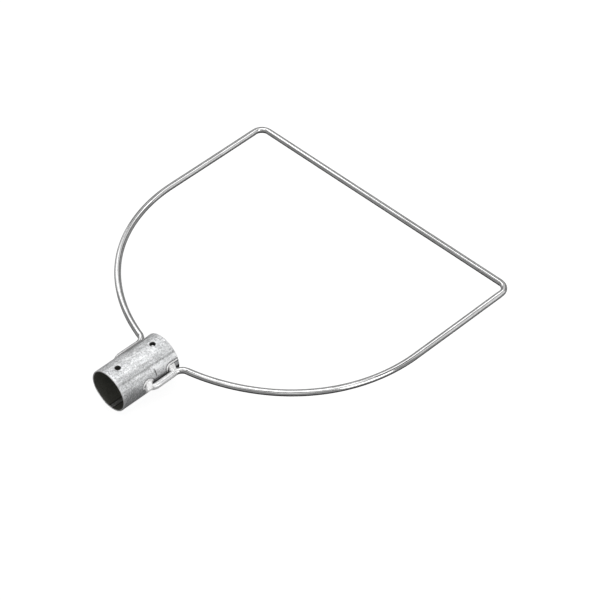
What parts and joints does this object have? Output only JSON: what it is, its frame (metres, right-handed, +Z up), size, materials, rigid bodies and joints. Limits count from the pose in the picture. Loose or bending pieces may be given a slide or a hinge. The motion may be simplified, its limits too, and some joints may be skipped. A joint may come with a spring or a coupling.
{
  "type": "landing net hoop",
  "caption": "Flat-fronted wire net hoop welded to the sides of a short sheet-metal socket that takes a round pole, with nail holes through the socket's wall.",
  "frame": {"origin": "centre of the socket's open mouth, on the socket's axis", "axes": "+Y along the socket's axis from the mouth to the hoop's front bar, +X to the right, +Z up on the side of the nail holes; the hoop's centreline lies in the plane z = 0"},
  "size_m": [0.3134, 0.333, 0.0394],
  "materials": {
    "plated_rod": "bright zinc-plated, smooth and shiny with a soft drawn grain",
    "galvanised_sheet": "hot-dip galvanised, mottled light grey with faint spangle and rolling streaks",
    "weld_metal": "bright rippled weld bead with a dull heat-marked edge"
  },
  "bodies": {
    "root": {"hoop_rod": "plated_rod", "socket_tube": "galvanised_sheet", "tip_weld_right": "weld_metal", "tip_weld_left": "weld_metal", "neck_weld_right": "weld_metal", "neck_weld_left": "weld_metal"}
  },
  "joints": []
}
